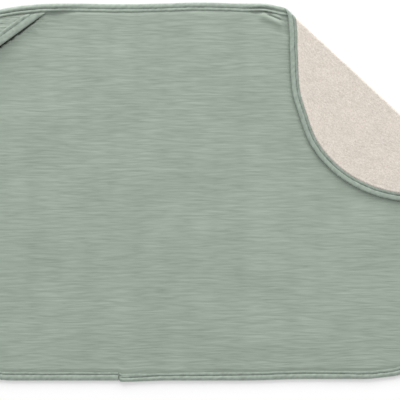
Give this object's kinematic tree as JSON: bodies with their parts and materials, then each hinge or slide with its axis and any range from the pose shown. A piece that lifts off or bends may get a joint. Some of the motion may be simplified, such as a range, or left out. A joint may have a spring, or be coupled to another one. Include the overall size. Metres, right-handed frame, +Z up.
{
  "type": "hooded baby towel",
  "caption": "Hooded baby towel lying flat: crinkled muslin front, terry back, bound edge, a hood across one corner and the next corner folded over.",
  "frame": {"origin": "centre of the towel's outline, on the surface that it lies on", "axes": "+Z up, +X along the towel's length towards the folded corner, +Y across it towards the hood's edge"},
  "size_m": [1.2004, 0.7513, 0.0248],
  "materials": {
    "terry": "looped cotton terry, natural beige",
    "muslin": "crinkled double gauze, sage green",
    "binding": "folded muslin bias tape, sage green",
    "thread": "sewing thread, sage green"
  },
  "bodies": {
    "towel": {"terry_back_panel": "terry", "muslin_front_panel": "muslin", "terry_back_crease": "terry", "muslin_front_crease": "muslin", "edge_binding_top": "binding", "edge_binding_hood_corner": "binding", "edge_binding_left_end": "binding", "edge_binding_right_end": "binding", "edge_binding_top_crease": "binding", "edge_binding_side_crease": "binding", "edge_binding_lapped_end": "binding", "edge_stitching_top": "thread", "edge_stitching_hood_corner": "thread", "edge_stitching_left_end": "thread", "edge_stitching_right_end": "thread", "hood_lining": "terry", "hood_muslin": "muslin", "hood_band": "binding", "hood_band_stitching": "thread"},
    "folded_corner": {"terry_back_folded_corner": "terry", "muslin_front_folded_corner": "muslin", "edge_binding_folded_corner": "binding", "edge_stitching_folded_corner": "thread"}
  },
  "joints": [
    {"name": "corner_fold", "type": "hinge", "parent": "towel", "child": "folded_corner", "pos_m": [0.392, 0.1825, 0.00435], "axis": [-0.7339, 0.6792, 0], "range_deg": [0, 180], "deforming": ["terry_back_crease", "muslin_front_crease", "edge_binding_top_crease", "edge_binding_side_crease"]}
  ]
}
